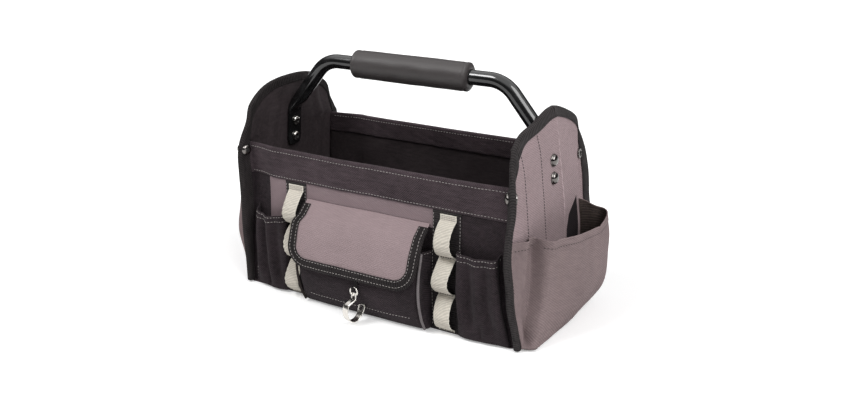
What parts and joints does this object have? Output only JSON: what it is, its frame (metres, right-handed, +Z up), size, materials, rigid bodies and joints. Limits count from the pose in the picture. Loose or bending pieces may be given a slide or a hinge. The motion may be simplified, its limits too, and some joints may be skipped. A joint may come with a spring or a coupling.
{
  "type": "open-top tool bag",
  "caption": "Open-top fabric tool bag with arched ends, a bolted tubular handle with a foam grip, outer pockets, a flap pocket, loop strips and a hanging tape hook.",
  "frame": {"origin": "middle of the flat underside, midway between the two ends and between the front and rear walls", "axes": "+X along the bag from its left end to its right end, +Y from its front to its rear, +Z up"},
  "size_m": [0.5256, 0.2843, 0.3325],
  "materials": {
    "black_fabric": "coarse woven black fabric",
    "grey_twill": "mauve-grey twill",
    "webbing_black": "ribbed black tape and webbing",
    "webbing_light": "light webbing",
    "lining": "smooth black lining",
    "board": "black plastic board",
    "tube_paint": "gloss black",
    "foam": "satin closed-cell foam",
    "dark_nickel": "dark nickel plate",
    "bright_steel": "bright plated steel"
  },
  "bodies": {
    "bag": {"base_panel": "black_fabric", "base_board": "board", "front_panel": "grey_twill", "front_top_band": "black_fabric", "front_lining": "lining", "rear_panel": "black_fabric", "rear_top_band": "black_fabric", "rear_lining": "lining", "left_end_panel": "grey_twill", "left_end_board": "board", "left_end_lining": "lining", "left_edge_binding": "webbing_black", "left_front_rivet": "dark_nickel", "left_rear_rivet": "dark_nickel", "left_lower_handle_bolt": "bright_steel", "left_lower_dome_nut": "dark_nickel", "left_upper_handle_bolt": "bright_steel", "left_upper_dome_nut": "dark_nickel", "left_loop_strip": "webbing_light", "left_loop_backing": "webbing_black", "left_corner_pocket": "black_fabric", "left_side_pocket": "grey_twill", "left_pocket_piping": "grey_twill", "right_end_panel": "grey_twill", "right_end_board": "board", "right_end_lining": "lining", "right_edge_binding": "webbing_black", "right_front_rivet": "dark_nickel", "right_rear_rivet": "dark_nickel", "right_lower_handle_bolt": "bright_steel", "right_lower_dome_nut": "dark_nickel", "right_upper_handle_bolt": "bright_steel", "right_upper_dome_nut": "dark_nickel", "right_loop_strip": "webbing_light", "right_loop_backing": "webbing_black", "right_corner_pocket": "black_fabric", "right_side_pocket": "grey_twill", "right_pocket_piping": "grey_twill", "handle_tube": "tube_paint", "handle_grip": "foam", "flap_pocket": "black_fabric", "pocket_loop_patch": "webbing_black", "inner_tool_strip": "webbing_black", "hook_tab": "webbing_black", "hook_ring": "bright_steel"},
    "flap": {"pocket_flap": "grey_twill", "flap_border": "webbing_black", "flap_hook_patch": "webbing_black"},
    "hook": {"tape_hook": "bright_steel"}
  },
  "joints": [
    {"name": "flap_lift", "type": "hinge", "parent": "bag", "child": "flap", "pos_m": [0, -0.10855, 0.146], "axis": [-1, 0, 0], "range_deg": [0, 120]},
    {"name": "hook_swing", "type": "hinge", "parent": "bag", "child": "hook", "pos_m": [0, -0.1472, 0.041], "axis": [-1, 0, 0], "range_deg": [0, 100]}
  ]
}
